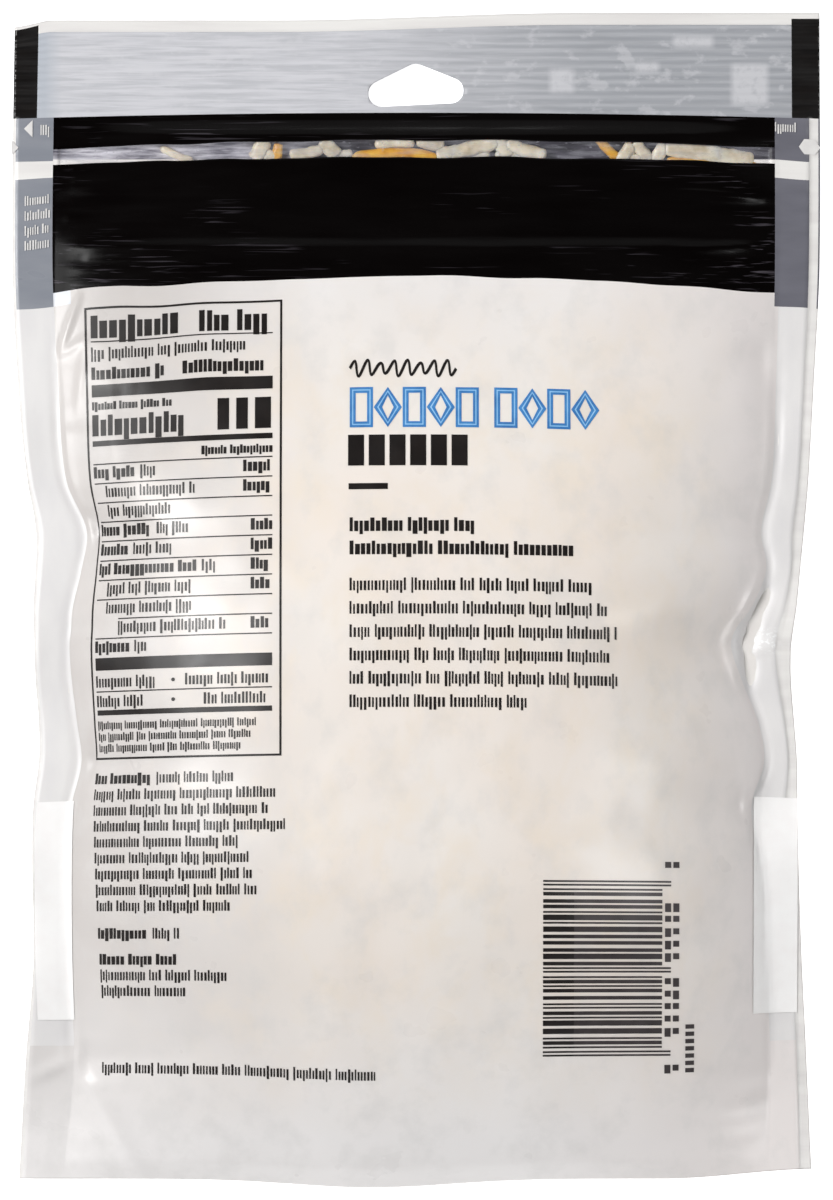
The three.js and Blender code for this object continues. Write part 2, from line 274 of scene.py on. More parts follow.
def crease_height(x, down):
    height = 0.0
    for x0, down0, x1, down1, high, half_width in CREASES:
        reach = 3 * half_width
        if not (min(x0, x1) - reach < x < max(x0, x1) + reach):
            continue
        if not (min(down0, down1) - reach < down < max(down0, down1) + reach):
            continue
        run = Vector((x1 - x0, down1 - down0))
        at = Vector((x - x0, down - down0))
        along = at.dot(run) / run.length_squared
        off = (at - run * clamp(along)).length
        height += high * bell(off, half_width) * (0.35 + 0.65 * math.sin(math.pi * clamp(along)))
    return height


def crimp_height(x, down):
    """The header's pressed lines: even on the right, broken and faint on the left."""
    inside = smooth(FRONT_PLY_STEP, FRONT_PLY_STEP + 0.6, down) * (1 - smooth(17.2, 17.9, down))
    if inside == 0:
        return 0.0
    broken = 0.5 + 0.5 * noise.noise(Vector((x / 9, down / 2.5, 7)))
    strength = lerp(0.025 + 0.02 * broken, 0.05, smooth(20, 45, x)) + 0.06 * smooth(66, 68, abs(x))
    wander = 0.35 * noise.noise(Vector((x / 16, down / 6, 1))) * (1 - smooth(20, 45, x))
    return inside * strength * math.cos(2 * math.pi * (down + wander) / CRIMP_PITCH)


def film_relief(x, down):
    """What the contents and handling press into the back: lumps, wrinkles, creases and crimps."""
    left, left_crease, right_crease, right = sides(down)
    inward = min(x - left_crease, right_crease - x)
    filled = smooth(-1, 9, inward) * smooth(46, 62, down) * (1 - smooth(192, 208, down))
    place = Vector((x, down, 0))
    lumps = 0.36 * noise.noise(place / 14) + 0.15 * noise.noise(place / 6 + Vector((9, 4, 2)))
    near_seal = smooth(-2, 2, inward) * (1 - smooth(4, 16, inward)) * smooth(52, 75, down)
    tucks = 0.22 * noise.noise(Vector((x / 13, down / 2.6, 5)))
    taut = smooth(HEADER_DEPTH, 21, down) * (1 - smooth(44, 52, down))
    streaks = 0.09 * noise.noise(Vector((x / 17, down / 1.5, 8)))
    seal = smooth(-0.5, 1.5, -inward) * smooth(40, 60, down)
    ripple = 0.04 * noise.noise(Vector((x / 5, down / 9, 11)))
    pressed = smooth(52, 80, down) * (1 - smooth(184, 196, down))
    uneven = 0.7 + 0.5 * noise.noise(Vector((x / 40, down / 8, 13)))
    lip = pressed * uneven * (0.25 * bell(inward - 0.9, 1.0) - 0.35 * bell(inward + 0.8, 0.75))
    height = filled * lumps + near_seal * tucks + taut * streaks + seal * ripple + lip
    return height + crease_height(x, down) + crimp_height(x, down)


def film_height(x, down):
    """The back's height, with the front ply's edge a step lower where it stands out beyond it."""
    left, left_crease, right_crease, right = sides(down)
    across = clamp(x / left_crease if x < 0 else x / right_crease)
    past_header = smooth(HEADER_DEPTH, WINDOW_TOP - 0.5, down)
    before_fold = 1 - smooth(POUCH_LENGTH - 4, POUCH_LENGTH + 1, down)
    rise = POUCH_THICKNESS - SEAM_HEIGHT - PLY - ZIP_THICKNESS
    towards_full = smooth(WINDOW_BOTTOM, FULLEST - 40, down)
    dome = 1 - across ** lerp(ZIP_ROUNDNESS, BACK_ROUNDNESS, towards_full)
    open_height = (ZIP_THICKNESS * past_header * before_fold + rise * fullness(down)) * dome
    ridges = sum(bell(down - ridge, ZIP_RIDGE_WIDTH) for ridge in ZIP_RIDGES) * ZIP_RIDGE_HEIGHT
    ridges *= smooth(0, 0.15, 1 - across)
    outward = (left_crease - x) / (left_crease - left) if x < 0 else (x - right_crease) / (right - right_crease)
    side_step = (-FRONT_EDGE_LEFT if x < 0 else FRONT_EDGE_RIGHT) - 1
    on_back_ply = down > FRONT_PLY_STEP and (down < HEADER_DEPTH or outward < side_step)
    step = 0 if on_back_ply else PLY if down < HEADER_DEPTH else SIDE_STEP
    height = seal_height(down) + PLY - step + open_height + ridges - dent_depth(x, down)
    return height + seal_wave(x, down) + film_relief(x, down)


def front_height(x, down):
    """The front's height: flat on the ground, turned up to the header, the seals and the fold."""
    left, left_crease, right_crease, right = sides(down)
    across = clamp(x / left_crease if x < 0 else x / right_crease)
    bulge = max(0.0, (across - FLAT_SHARE) / (1 - FLAT_SHARE))
    contact = smooth(HEADER_DEPTH, FILL_FROM, down) * (1 - smooth(FLAT_TO, POUCH_LENGTH, down))
    height = lerp(seal_height(down) - PLY, 0, (1 - bulge * bulge) * contact)
    return height + seal_wave(x, down)


ORIGIN_DOWN = HIGH.y / MM - EDGE_RISE


def place(x, down, height):
    """A point in the frame, from millimetres across, down and up."""
    return Vector((x, film_plan(x, down) + ORIGIN_DOWN, height)) * MM


def row_down(x, row):
    """How far down the point of a print row lies at x."""
    for (row0, arch0), (row1, arch1) in zip(ROW_ARCH, ROW_ARCH[1:]):
        if row <= row1:
            break
    arch = lerp(arch0, arch1, clamp((row - row0) / (row1 - row0)))
    ripple = ROW_RIPPLE * smooth(18.5, 24, row) * (1 - smooth(54, 75, row))
    ripple *= noise.noise(Vector((x / 11, row / 14, 3)))
    return row + arch * (x / ARCH_AT) ** 2 + ripple


def across_at(share, down):
    """x of a share of the half width: 1 at the right crease, 2 at the right edge, -1 and -2 left."""
    left, left_crease, right_crease, right = sides(down)
    crease, edge = (left_crease, left) if share < 0 else (right_crease, right)
    return crease * min(abs(share), 1) + (edge - crease) * max(abs(share) - 1, 0)


def drift(x, down):
    """The print moves in with the film where the left crease does."""
    crease = sides(down)[1]
    reach = math.exp(-max(0.0, x - PRINT_LEFT) / DRIFT_REACH)
    return PRINT_DRIFT * (crease - DRIFT_FROM) * reach


# ---- mesh helpers
def stops(start, *spans):
    """Grid lines from start through each (end, step), evenly spaced in each span."""
    lines = [start]
    for end, step in spans:
        count = max(1, round((end - lines[-1]) / step))
        first = lines[-1]
        lines += [lerp(first, end, (k + 1) / count) for k in range(count)]
    return lines


def sheet_grid(bm, columns, rows):
    """An even grid whose vertices come back with their column and row numbers."""
    across, along = len(columns) - 1, len(rows) - 1
    made = bmesh.ops.create_grid(bm, x_segments=across, y_segments=along, size=0.5)
    spots = {}
    for vert in made["verts"]:
        i = round((vert.co.x + 0.5) * across)
        j = round((0.5 - vert.co.y) * along)
        spots[vert] = (i, j)
    return spots


def finish_piece(name, bm, *materials, smooth_shade=True):
    mesh = bpy.data.meshes.new(name)
    for face in bm.faces:
        face.smooth = smooth_shade
    bm.to_mesh(mesh)
    bm.free()
    for material in materials:
        mesh.materials.append(material)
    piece = bpy.data.objects.new(name, mesh)
    bpy.context.scene.collection.objects.link(piece)
    return piece


# ---- materials
def linear(red, green, blue):
    """A colour given as 0 to 255, as Blender's sockets take it."""
    def channel(value):
        value /= 255
        return value / 12.92 if value <= 0.04045 else ((value + 0.055) / 1.055) ** 2.4
    return channel(red), channel(green), channel(blue), 1.0


class Finish:
    """A material under construction: one principled shader and the nodes that feed it."""

    def __init__(self, name, **sockets):
        self.material = bpy.data.materials.new(name)
        self.material.use_nodes = True
        self.tree = self.material.node_tree
        self.shader = self.tree.nodes["Principled BSDF"]
        self.place = self.tree.nodes.new("ShaderNodeTexCoord").outputs["Object"]
        for socket, value in sockets.items():
            self.shader.inputs[socket.replace("_", " ")].default_value = value

    def node(self, kind, inputs=(), **settings):
        node = self.tree.nodes.new("ShaderNode" + kind)
        for name, value in settings.items():
            setattr(node, name, value)
        for socket, value in dict(inputs).items():
            if isinstance(value, bpy.types.NodeSocket):
                self.tree.links.new(value, node.inputs[socket])
            else:
                node.inputs[socket].default_value = value
        return node

    def noise(self, size, stretch=(1, 1, 1), detail=3.0, roughness=0.5, distortion=0.0):
        """Noise whose grains are about this many millimetres, longer where stretch is."""
        scale = [1 / (size * MM * s) for s in stretch]
        moved = self.node("Mapping", {"Vector": self.place, "Scale": scale}).outputs[0]
        settings = {"Vector": moved, "Scale": 1.0, "Detail": detail, "Roughness": roughness,
                    "Distortion": distortion}
        return self.node("TexNoise", settings).outputs[0]

    def ramp(self, share, *colour_stops):
        node = self.node("ValToRGB", {"Fac": share})
        ramp = node.color_ramp
        while len(ramp.elements) < len(colour_stops):
            ramp.elements.new(0.5)
        for element, (at, colour) in zip(ramp.elements, colour_stops):
            element.position = at
            element.color = colour
        return node.outputs["Color"]

    def mix(self, share, first, second):
        node = self.node("Mix", {0: share, 6: first, 7: second}, data_type="RGBA")
        return node.outputs[2]

    def range(self, value, low, high, to_low, to_high):
        inputs = {"Value": value, "From Min": low, "From Max": high, "To Min": to_low, "To Max": to_high}
        return self.node("MapRange", inputs).outputs[0]

    def times(self, value, *others):
        for other in others:
            value = self.node("Math", {0: value, 1: other}, operation="MULTIPLY").outputs[0]
        return value

    def near(self, value, centre, inner, outer):
        """1 within the inner distance of a coordinate and 0 beyond the outer one, in millimetres."""
        away = self.node("Math", {0: value, 1: centre * MM}, operation="SUBTRACT").outputs[0]
        away = self.node("Math", {0: away}, operation="ABSOLUTE").outputs[0]
        return self.range(away, inner * MM, outer * MM, 1, 0)

    def colour(self, value):
        self.tree.links.new(value, self.shader.inputs["Base Color"])
        return self

    def roughness(self, value):
        self.tree.links.new(value, self.shader.inputs["Roughness"])
        return self

    def bump(self, height, depth):
        node = self.node("Bump", {"Height": height, "Distance": depth * MM, "Strength": 1.0})
        self.tree.links.new(node.outputs[0], self.shader.inputs["Normal"])
        return self


def mottled(name, dark, light, size=5.0, stretch=(1, 1, 1), rough=(0.3, 0.4), bump=0.01, grain=1.2):
    """Printed film: two close tones in soft patches, uneven gloss and a fine surface grain."""
    finish = Finish(name, Specular_IOR_Level=0.45)
    patches = finish.noise(size, stretch, detail=4)
    finish.colour(finish.ramp(patches, (0.35, linear(*dark)), (0.65, linear(*light))))
    gloss = finish.noise(size * 2.3, stretch)
    finish.roughness(finish.range(gloss, 0.35, 0.65, *rough))
    return finish.bump(finish.noise(grain, stretch, detail=2), bump).material


def white_film():
    """White printed film over the cheese: cream where shreds lie close behind it, with painted shade towards the
    right and over its left part.
    """
    finish = Finish("white_film", Specular_IOR_Level=0.4)
    x, y = finish.node("SeparateXYZ", {"Vector": finish.place}).outputs[:2]
    soft = finish.noise(24, detail=2)
    pale = finish.ramp(soft, (0.3, linear(235, 232, 231)), (0.7, linear(241, 238, 237)))
    # Painted shade: a darker tone towards the right stands in for the light falling off on that side.
    painted_right_shade = finish.ramp(soft, (0.3, linear(233, 227, 225)), (0.7, linear(238, 232, 230)))
    pale = finish.mix(finish.range(x, 20 * MM, 60 * MM, 0, 1), pale, painted_right_shade)
    cream = finish.ramp(soft, (0.3, linear(240, 230, 221)), (0.7, linear(240, 234, 228)))
    from_left = finish.range(x, -60 * MM, -25 * MM, 0, 1)
    from_right = finish.range(x, 60 * MM, 44 * MM, 0, 1)
    from_band = finish.range(y, 58 * MM, 36 * MM, 0.2, 1)
    from_fold = finish.range(y, -98 * MM, -66 * MM, 0, 1)
    inside = finish.node("Math", {0: from_left, 1: from_right}, operation="MULTIPLY").outputs[0]
    for mask in (from_fold, from_band):
        inside = finish.node("Math", {0: inside, 1: mask}, operation="MULTIPLY").outputs[0]
    body = finish.mix(inside, pale, cream)
    # Painted shade: the left part of the body, away from the fold, is darkened to hold back the strong light from
    # the left.
    left_shade_mask = finish.range(x, -52 * MM, -16 * MM, 1, 0)
    left_shade_mask = finish.node("Math", {0: left_shade_mask, 1: from_fold}, operation="MULTIPLY").outputs[0]
    painted_left_shade = finish.ramp(soft, (0.3, linear(200, 195, 192)), (0.7, linear(207, 202, 199)))
    body = finish.mix(left_shade_mask, body, painted_left_shade)
    shreds = finish.noise(8, (1.0, 1.5, 1), detail=4, roughness=0.6, distortion=0.3)
    shows = finish.range(shreds, 0.45, 0.7, 0.0, 0.5)
    shows = finish.node("Math", {0: shows, 1: inside}, operation="MULTIPLY").outputs[0]
    body = finish.mix(shows, body, linear(238, 225, 208))
    patches = finish.noise(6, (1, 1.4, 1), detail=5, roughness=0.6)
    finish.colour(finish.mix(finish.range(patches, 0.48, 0.68, 0, 0.3), body, linear(213, 211, 209)))
    finish.roughness(finish.range(finish.noise(9), 0.3, 0.7, 0.27, 0.36))
    return finish.bump(finish.noise(1.3, detail=3), 0.008).material


# pale patches where the header's plies have parted: x, down, half width, half height
HEADER_PATCHES = (
    (60.8, 12.7, 3.3, 3.7),
    (26.6, 12.0, 2.2, 2.1),
    (50.5, 4.9, 3.6, 1.0),
    (42.0, 9.6, 2.2, 0.9),
)


def frosted_header():
    """Clear back ply pressed onto dark print: pale and streaked like wood grain, greyer to the right."""
    finish = Finish("frosted_header", Specular_IOR_Level=0.4)
    x, y = finish.node("SeparateXYZ", {"Vector": finish.place}).outputs[:2]
    grain = finish.noise(1.5, (9, 0.5, 1), detail=4, roughness=0.6, distortion=0.25)
    pale = finish.ramp(grain, (0.4, linear(212, 212, 217)), (0.62, linear(192, 193, 198)))
    grey = finish.ramp(grain, (0.4, linear(178, 180, 185)), (0.62, linear(166, 168, 173)))
    to_right = finish.range(x, -14 * MM, 32 * MM, 0, 1)
    base = finish.mix(to_right, pale, grey)
    lines = finish.node("TexWave", {"Vector": finish.place, "Scale": 0.31416 / (CRIMP_PITCH * MM),
                                    "Distortion": 0.6}, bands_direction="Y").outputs[1]
    dimmer = finish.range(lines, 0.1, 0.9, 0.42, 0)
    dimmer = finish.node("Math", {0: dimmer, 1: to_right}, operation="MULTIPLY").outputs[0]
    base = finish.mix(dimmer, base, linear(140, 143, 150))
    blotches = finish.range(finish.noise(3, (1.5, 1, 1), detail=6, roughness=0.6), 0.56, 0.64, 0, 0.4)
    ragged = finish.range(finish.noise(1.6, detail=5, roughness=0.7), 0.3, 0.5, 0.4, 0.75)
    for centre, down, half_width, half_height in HEADER_PATCHES:
        across = finish.near(x, centre, half_width - 0.6, half_width + 0.6)
        along = finish.near(y, ORIGIN_DOWN - down, half_height - 0.6, half_height + 0.6)
        patch = finish.times(ragged, across, along)
        blotches = finish.node("Math", {0: blotches, 1: patch}, operation="MAXIMUM").outputs[0]
    base = finish.mix(blotches, base, linear(212, 212, 216))
    at_edge = finish.range(x, -67.6 * MM, -64.5 * MM, 0, 1)
    base = finish.mix(at_edge, linear(186, 191, 199), base)
    finish.colour(base)
    finish.roughness(finish.range(grain, 0.3, 0.7, 0.38, 0.5))
    return finish.bump(grain, 0.02).material


def black_film():
    """Glossy black print, with thin painted highlights of wrinkles along the zip and towards the seals."""
    finish = Finish("black_film")
    x, y = finish.node("SeparateXYZ", {"Vector": finish.place}).outputs[:2]
    black = finish.ramp(finish.noise(8, (3, 0.7, 1)), (0.3, linear(5, 3, 3)), (0.7, linear(9, 7, 7)))
    # Painted highlights: thin lighter grey streaks, in patches and stronger towards the sides, stand in for light
    # caught on wrinkles.
    wrinkles = finish.noise(1.5, (9, 0.3, 1), detail=2, distortion=0.4)
    painted_highlights = finish.range(wrinkles, 0.6, 0.7, 0, 1)
    patches = finish.range(finish.noise(11, (2.2, 0.8, 1), detail=1), 0.5, 0.62, 0, 1)
    highlights_to_side = finish.range(finish.node("Math", {0: x}, operation="ABSOLUTE").outputs[0],
                           30 * MM, 62 * MM, 0.35, 1.0)
    painted_highlights = finish.node("Math", {0: painted_highlights, 1: patches}, operation="MULTIPLY").outputs[0]
    painted_highlights = finish.node("Math", {0: painted_highlights, 1: highlights_to_side}, operation="MULTIPLY").outputs[0]
    finish.colour(finish.mix(painted_highlights, black, linear(74, 70, 76)))
    finish.roughness(finish.range(finish.noise(4, (4, 0.6, 1)), 0.3, 0.7, 0.12, 0.2))
    sheen = finish.range(x, -64 * MM, -50 * MM, 0.04, 0.25)
    finish.tree.links.new(sheen, finish.shader.inputs["Specular IOR Level"])
    return finish.bump(finish.noise(1.4, (5, 0.5, 1), detail=3), 0.012).material


def clear_film():
    """The window's clear film: faint milky streaks and a soft gloss."""
    finish = Finish("clear_film", Base_Color=linear(205, 205, 215), Specular_IOR_Level=0.5, Roughness=0.16)
    streaks = finish.noise(1.6, (4, 0.6, 1), detail=4)
    haze = finish.range(streaks, 0.45, 0.75, 0.05, 0.34)
    specks = finish.range(finish.noise(0.5, (1.8, 1, 1), detail=1), 0.65, 0.72, 0, 0.3)
    haze = finish.node("Math", {0: haze, 1: specks}, operation="MAXIMUM").outputs[0]
    finish.tree.links.new(haze, finish.shader.inputs["Alpha"])
    return finish.bump(streaks, 0.03).material


def cheese(name, shade, body, edge, rough):
    """Grated cheese: waxy, a little paler where the grater tore it, with some light carried inside."""
    finish = Finish(name, Specular_IOR_Level=0.4, Subsurface_Weight=0.3, Subsurface_Scale=1.5 * MM)
    finish.shader.inputs["Subsurface Radius"].default_value = (1.0, 0.6, 0.3)
    torn = finish.noise(2.6, detail=2)
    finish.colour(finish.ramp(torn, (0.3, linear(*shade)), (0.5, linear(*body)), (0.7, linear(*edge))))
    finish.roughness(finish.range(torn, 0.3, 0.7, rough - 0.08, rough + 0.08))
    return finish.bump(finish.noise(0.5, detail=3), 0.03).material


def sealed_film():
    """The side seals, with painted white glints where the right one is crushed."""
    finish = Finish("sealed_film", Specular_IOR_Level=0.45)
    x, y = finish.node("SeparateXYZ", {"Vector": finish.place}).outputs[:2]
    patches = finish.noise(6, (0.8, 2, 1), detail=4)
    base = finish.ramp(patches, (0.35, linear(226, 224, 224)), (0.65, linear(232, 230, 229)))
    away = finish.node("Math", {0: y, 1: (ORIGIN_DOWN - PAINTED_GLINT_DOWN) * MM}, operation="SUBTRACT").outputs[0]
    away = finish.node("Math", {0: away}, operation="ABSOLUTE").outputs[0]
    # Painted glints: white grains near the crushed part of the right seal stand in for light caught on its
    # crinkles.
    grains = finish.range(finish.noise(0.45, (1.6, 1, 1), detail=1), 0.56, 0.62, 0, 1)
    crushed = finish.range(away, 0.5 * MM, 2.8 * MM, 1, 0)
    beyond = finish.range(x, 59 * MM, 61 * MM, 0, 1)
    crushed = finish.node("Math", {0: crushed, 1: beyond}, operation="MULTIPLY").outputs[0]
    grains = finish.range(grains, 0, 1, 0.3, 1)
    grains = finish.node("Math", {0: grains, 1: crushed}, operation="MULTIPLY").outputs[0]
    finish.colour(finish.mix(grains, base, linear(255, 255, 255)))
    finish.roughness(finish.range(finish.noise(14), 0.35, 0.65, 0.36, 0.46))
    return finish.bump(finish.noise(0.9, detail=2), 0.012).material


def lining():
    """The front's inner side, seen through the clear strip: slate, with the front's pale stripe low down."""
    finish = Finish("inner_film", Specular_IOR_Level=0.4, Roughness=0.4)
    streaks = finish.noise(1.3, (6, 0.7, 1), detail=5, roughness=0.6)
    light = finish.ramp(streaks, (0.35, linear(84, 82, 94)), (0.65, linear(214, 212, 220)))
    dark = finish.ramp(streaks, (0.35, linear(28, 26, 32)), (0.62, linear(84, 81, 92)))
    x, y = finish.node("SeparateXYZ", {"Vector": finish.place}).outputs[:2]
    slate = finish.mix(finish.range(x, -32 * MM, -12 * MM, 0, 1), light, dark)
    stripe = finish.range(y, (ORIGIN_DOWN - 26.3) * MM, (ORIGIN_DOWN - 26.45) * MM, 0, 1)
    finish.colour(finish.mix(stripe, slate, linear(232, 228, 225)))
    return finish.bump(streaks, 0.04).material


FILM_MATERIALS = {
    "white": white_film(),
    "seal": sealed_film(),
    "front_edge": mottled("front_ply_edge", (230, 227, 225), (240, 238, 235), 5, (6, 0.5, 1)),
    "block": mottled("header_black", (14, 12, 12), (22, 19, 18), 2, (3, 0.5, 1), (0.28, 0.4), 0.03),
    "frost": frosted_header(),
    "band": black_film(),
    # Painted glare: the left margin is given a lighter tone than the right one, standing in for light glancing
    # off it from the left.
    "glare_lit_margin_left": mottled("glare_lit_margin_left", (136, 140, 149), (145, 148, 156), 4, (3, 0.8, 1), (0.25, 0.4)),
    "margin_right": mottled("margin_right", (106, 106, 115), (115, 115, 124), 4, (3, 0.8, 1), (0.25, 0.4)),
    "shaded": mottled("shaded_white", (208, 211, 217), (218, 220, 225), 4),
    "lining": lining(),
    "front_dark": mottled("front_dark", (84, 88, 96), (92, 96, 104), 8),
    "front_white": mottled("front_white", (232, 228, 224), (240, 237, 233), 9),
}
FILM_ORDER = list(FILM_MATERIALS)


# ---- the film pouch
COLUMNS = stops(-2, (FRONT_EDGE_LEFT - 0.003, 0.06), (FRONT_EDGE_LEFT + 0.003, 0.006), (BLOCK_LEFT, 0.1),
                (BAND_LEFT, 0.05), (-1, 0.01), (WINDOW_LEFT, 0.01),
                (WINDOW_LEFT + 0.0005, 0.001), (-0.85, 0.008), (0.83, 0.0155), (WINDOW_RIGHT - 0.0005, 0.0075),
                (WINDOW_RIGHT, 0.001), (BAND_RIGHT, 0.01), (1, 0.01), (BLOCK_RIGHT, 0.05),
                (FRONT_EDGE_RIGHT - 0.003, 0.1), (FRONT_EDGE_RIGHT + 0.003, 0.006), (SLIVER_RIGHT, 0.1),
                (2, 0.04))
ROWS = stops(0, (FRONT_PLY_STEP - 0.03, 0.5), (FRONT_PLY_STEP + 0.03, 0.06), (HEADER_END, 0.28),
             (WINDOW_TOP - 0.03, 0.55), (WINDOW_TOP, 0.03), (CROSS_TOP, 0.6), (WINDOW_BOTTOM, 0.4),
             (WINDOW_BOTTOM + 0.03, 0.03), (CROSS_BOTTOM, 0.6), (BAND_END, 0.55), (MARGIN_END, 0.6),
             (64, 0.65), (SEAL_END, 0.9), (POUCH_LENGTH - 4, 0.9), (POUCH_LENGTH - 0.6, 0.7), (POUCH_LENGTH, 0.3))
FRONT_COLUMNS = stops(-2, (-1, 0.5), (1, 0.05), (2, 0.5))
FRONT_ROWS = stops(0, (HEADER_DEPTH, 4), (POUCH_LENGTH - 4, 4), (POUCH_LENGTH, 1.3))


def back_field(share, row):
    """The colour field that a spot of the back lies in."""
    if row < FRONT_PLY_STEP:
        in_block = (share < BLOCK_LEFT and row > BLOCK_TOP_LEFT
                    or share > BLOCK_RIGHT and row > BLOCK_TOP_RIGHT)
        return "block" if in_block else "front_edge"
    if row < HEADER_END:
        return "frost" if BLOCK_LEFT < share < BLOCK_RIGHT else "block"
    if share > SLIVER_RIGHT and row < MARGIN_END:
        return "margin_right"
    if not FRONT_EDGE_LEFT < share < FRONT_EDGE_RIGHT:
        return "front_edge"
    if row < MARGIN_END and not BAND_LEFT < share < BAND_RIGHT:
        if CROSS_TOP < row < CROSS_BOTTOM:
            return "front_edge"
        return "glare_lit_margin_left" if share < 0 else "margin_right"
    if row < BAND_END:
        return "lining" if WINDOW_TOP - 0.031 < row < WINDOW_BOTTOM + 0.03 else "band"
    if row < MARGIN_END and share < SHADED_LEFT:
        return "shaded"
    return "seal" if abs(share) > 1 and row < SEAL_END else "white"


def in_window(share, row):
    inside = WINDOW_LEFT < share < WINDOW_RIGHT
    return inside and WINDOW_TOP - 0.001 < row < WINDOW_BOTTOM + 0.001


def window_depth(x, down):
    """How far the lining lies below the clear film, less where the pouch gets thin."""
    return max(0.1, min(WINDOW_DEPTH, film_height(x, down) - front_height(x, down) - 0.7))


def hang_hole_cutter():
    """A prism on the hull of three discs: two lobes and a peak."""
    bm = bmesh.new()
    lobes = ((-HOLE_LOBE, HOLE_BASE + HOLE_TILT), (HOLE_LOBE, HOLE_BASE - HOLE_TILT), (0, HOLE_APEX))
    for x, down in lobes:
        for height in (-3, 8):
            centre = Matrix.Translation((x, ORIGIN_DOWN - down, height))
            bmesh.ops.create_circle(bm, segments=40, radius=HOLE_RADIUS, matrix=centre)
    bmesh.ops.convex_hull(bm, input=bm.verts)
    loose = [vert for vert in bm.verts if not vert.link_faces]
    bmesh.ops.delete(bm, geom=loose, context="VERTS")
    bmesh.ops.scale(bm, verts=bm.verts, vec=(MM, MM, MM))
    bmesh.ops.recalc_face_normals(bm, faces=bm.faces)
    return finish_piece("hang_hole_cutter", bm)


def cut(piece, cutter):
    """Cuts one piece with another, which is then removed."""
    modifier = piece.modifiers.new("cut", "BOOLEAN")
    modifier.object = cutter
    modifier.operation = "DIFFERENCE"
    modifier.solver = "EXACT"
    evaluated = piece.evaluated_get(bpy.context.evaluated_depsgraph_get())
    mesh = bpy.data.meshes.new_from_object(evaluated)
    piece.modifiers.clear()
    piece.data = mesh
    bpy.data.objects.remove(cutter)


def film_pouch():
    """One closed skin: the printed back, the front, and the rim where they are sealed together."""
    bm = bmesh.new()
    spots = sheet_grid(bm, COLUMNS, ROWS)
    for vert, (i, j) in spots.items():
        share, row = COLUMNS[i], ROWS[j]
        x = across_at(share, row_down(across_at(share, row), row))
        down = min(POUCH_LENGTH, row_down(x, row))
        height = film_height(x, down)
        if in_window(share, row):
            height -= window_depth(x, down)
        vert.co = place(x, down, height)
    for face in bm.faces:
        at = [spots[vert] for vert in face.verts]
        share = sum(COLUMNS[i] for i, j in at) / len(at)
        row = sum(ROWS[j] for i, j in at) / len(at)
        face.material_index = FILM_ORDER.index(back_field(share, row))
    back_rim = [edge for edge in bm.edges if edge.is_boundary]
    front = sheet_grid(bm, FRONT_COLUMNS, FRONT_ROWS)
    for vert, (i, j) in front.items():
        down = FRONT_ROWS[j]
        x = across_at(FRONT_COLUMNS[i], down)
        vert.co = place(x, down, front_height(x, down))
    front_faces = {face for vert in front for face in vert.link_faces}
    for face in front_faces:
        row = sum(FRONT_ROWS[front[vert][1]] for vert in face.verts) / len(face.verts)
        field = "front_dark" if row < MARGIN_END else "front_white"
        face.material_index = FILM_ORDER.index(field)
    bmesh.ops.reverse_faces(bm, faces=list(front_faces))
    front_rim = [edge for edge in bm.edges if edge.is_boundary and edge not in set(back_rim)]
    rim = bmesh.ops.bridge_loops(bm, edges=back_rim + front_rim)
    for face in rim["faces"]:
        face.material_index = FILM_ORDER.index("front_edge")
    bmesh.ops.recalc_face_normals(bm, faces=bm.faces)
    piece = finish_piece("film_pouch", bm, *FILM_MATERIALS.values())
    cut(piece, hang_hole_cutter())
    return piece


def window_film():
    """The clear strip over the grated cheese."""
    bm = bmesh.new()
    columns = stops(WINDOW_LEFT, (WINDOW_RIGHT, 0.012))
    rows = stops(WINDOW_TOP - 0.02, (WINDOW_BOTTOM + 0.02, 0.5))
    for vert, (i, j) in sheet_grid(bm, columns, rows).items():
        x = across_at(columns[i], rows[j])
        down = row_down(x, rows[j])
        vert.co = place(x, down, film_height(x, down) - 0.05)
    return finish_piece("window_film", bm, clear_film())


# ---- the grated cheese under the window
SHRED_WIDTH, SHRED_HEIGHT = 1.9, 1.5
# x, row, length, turn in degrees, bend, width, depth below the film
IVORY_SHREDS = (
    (-43.6, 24.9, 6.8, -24, 0.010, 1.5, 0.5),
    (-28.4, 24.2, 4.4, 62, 0.040, 2.9, 0.1),
    (-26.9, 25.2, 3.4, -20, 0.000, 2.2, 0.4),
    (-19.9, 25.0, 6.6, 7, 0.020, 2.2, 0.2),
    (-15.8, 24.3, 4.6, -50, 0.020, 2.9, 0.1),
    (-13.4, 25.6, 4.0, 10, 0.000, 1.7, 0.6),
    (-3.9, 23.4, 7.6, 3, -0.010, 1.9, 0.1),
    (2.6, 23.4, 5.4, -6, 0.020, 2.3, 0.3),
    (5.8, 25.0, 4.6, 12, 0.000, 2.5, 0.2),
    (10.6, 24.3, 9.8, 12, 0.008, 2.9, 0.1),
    (10.0, 25.6, 7.5, -6, 0.000, 2.0, 0.7),
    (15.8, 24.4, 4.4, -58, 0.020, 2.6, 0.2),
    (20.0, 24.7, 8.0, -15, 0.010, 2.7, 0.1),
    (17.5, 25.6, 6.5, 4, 0.000, 2.0, 0.7),
    (38.3, 25.0, 4.6, 58, 0.020, 2.5, 0.2),
    (41.2, 24.5, 4.8, -52, 0.030, 2.3, 0.1),
    (44.3, 24.7, 4.2, 66, 0.000, 2.4, 0.2),
    (41.6, 25.8, 6.5, 0, 0.000, 1.8, 0.7),
    (50.8, 24.3, 11.8, -3, 0.004, 3.1, 0.1),
    (57.6, 24.9, 8.4, -9, 0.008, 3.2, 0.2),
    (53.4, 25.8, 9.0, 2, 0.000, 2.0, 0.7),
)
